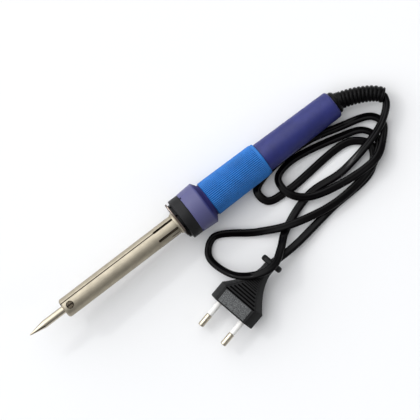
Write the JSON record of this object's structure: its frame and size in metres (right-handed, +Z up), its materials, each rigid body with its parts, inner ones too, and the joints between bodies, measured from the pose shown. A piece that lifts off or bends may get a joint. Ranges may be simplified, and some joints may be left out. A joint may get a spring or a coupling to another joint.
{
  "type": "soldering iron",
  "caption": "Mains soldering iron with a conical bit locked in a slotted metal barrel, ribbed sleeve grip, tapering handle and a looped flat cord that ends in a flat mains plug.",
  "frame": {"origin": "centre of the iron's footprint on the table, cord and plug not counted", "axes": "+X from the bit's tip towards the cord end, +Y away from the side the cord lies on, +Z up"},
  "size_m": [0.2694, 0.0956, 0.0297],
  "materials": {
    "plated_bit": "fine turned, plated",
    "dark_steel": "blackened",
    "barrel_steel": "smooth, slightly warm",
    "screw_steel": "zinc plated",
    "mica": "flaky mica",
    "resistance_wire": "drawn wire",
    "ceramic": "unglazed ceramic",
    "glass_sleeving": "woven glass sleeving, varnished",
    "black_plastic": "satin",
    "purple_plastic": "satin moulded",
    "blue_rubber": "matte, finely ribbed",
    "natural_plastic": "natural nylon",
    "terminal_brass": "machined",
    "core_insulation": "extruded insulation",
    "cord_black": "glossy extruded sheath",
    "relief_black": "satin moulded",
    "plug_black": "satin moulded",
    "pin_nickel": "nickel plated",
    "sleeve_white": "satin"
  },
  "bodies": {
    "iron": {"barrel": "barrel_steel", "nose_bush": "dark_steel", "flange_plate": "barrel_steel", "flange_screws": "screw_steel", "heater_former": "dark_steel", "inner_mica": "mica", "heater_winding": "resistance_wire", "outer_mica": "mica", "front_insulator": "ceramic", "rear_insulator": "ceramic", "heater_leads": "resistance_wire", "lead_sleeves": "glass_sleeving", "front_ring": "black_plastic", "handle": "purple_plastic", "grip_sleeve": "blue_rubber", "terminal_block": "natural_plastic", "terminal_tubes": "terminal_brass", "terminal_screws": "screw_steel", "cord_cores": "core_insulation", "cord_tail": "cord_black", "cord_clip": "screw_steel", "strain_relief": "relief_black", "cord": "cord_black", "plug_body": "plug_black", "plug_insert": "plug_black", "plug_pins": "pin_nickel", "pin_sleeves": "sleeve_white", "plug_cores": "core_insulation"},
    "bit": {"bit": "plated_bit"},
    "set_screw": {"set_screw": "dark_steel"}
  },
  "joints": [
    {"name": "bit_slide", "type": "slide", "parent": "iron", "child": "bit", "axis": [-0.9984, 0, 0.056], "range_m": [0, 0.045]},
    {"name": "set_screw_turn", "type": "hinge", "parent": "iron", "child": "set_screw", "pos_m": [-0.08774, 0, 0.02463], "axis": [0.056, 0, 0.9984], "range_deg": [0, 720]}
  ]
}
